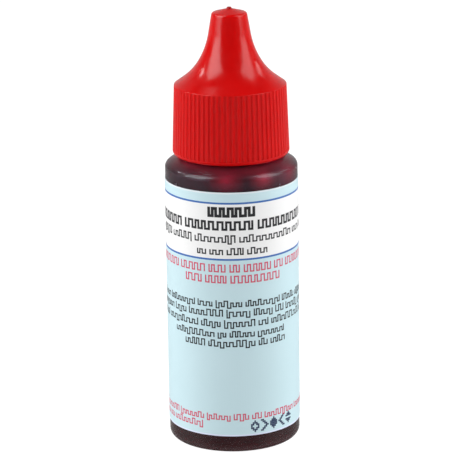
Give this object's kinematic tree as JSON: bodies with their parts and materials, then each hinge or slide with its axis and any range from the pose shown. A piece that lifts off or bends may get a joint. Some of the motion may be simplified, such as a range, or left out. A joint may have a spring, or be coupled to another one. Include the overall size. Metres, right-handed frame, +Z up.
{
  "type": "dropper bottle",
  "caption": "Small cylindrical dropper bottle with a ribbed, spouted screw cap, a dropper plug in its neck, a wrap-around label and a dark liquid fill.",
  "frame": {"origin": "centre of the foot ring's plane, on the bottle's axis", "axes": "+Z up along the bottle's axis, -Y towards the front of the label"},
  "size_m": [0.0254, 0.0254, 0.0842],
  "materials": {
    "bottle_plastic": "translucent natural polyethylene, satin",
    "plug_plastic": "translucent white polyethylene, satin",
    "cap_plastic": "moulded red polypropylene, semi-gloss",
    "label_film": "smooth printed film, pale blue",
    "reagent": "dark red-purple liquid"
  },
  "bodies": {
    "bottle": {"bottle": "bottle_plastic", "label": "label_film", "indicator_liquid": "reagent"},
    "plug": {"dropper_plug": "plug_plastic"},
    "cap": {"cap": "cap_plastic"}
  },
  "joints": [
    {"name": "cap_turn", "type": "hinge", "parent": "bottle", "child": "plug", "pos_m": [0, 0, 0.068], "axis": [0, 0, 1], "range_deg": [0, 3240]},
    {"name": "cap_rise", "type": "slide", "parent": "plug", "child": "cap", "axis": [0, 0, 1], "range_m": [0, 0.02858]}
  ],
  "couplings": [
    {"joint": "cap_rise", "follows": "cap_turn", "m_per_rad": 0.00050532}
  ]
}
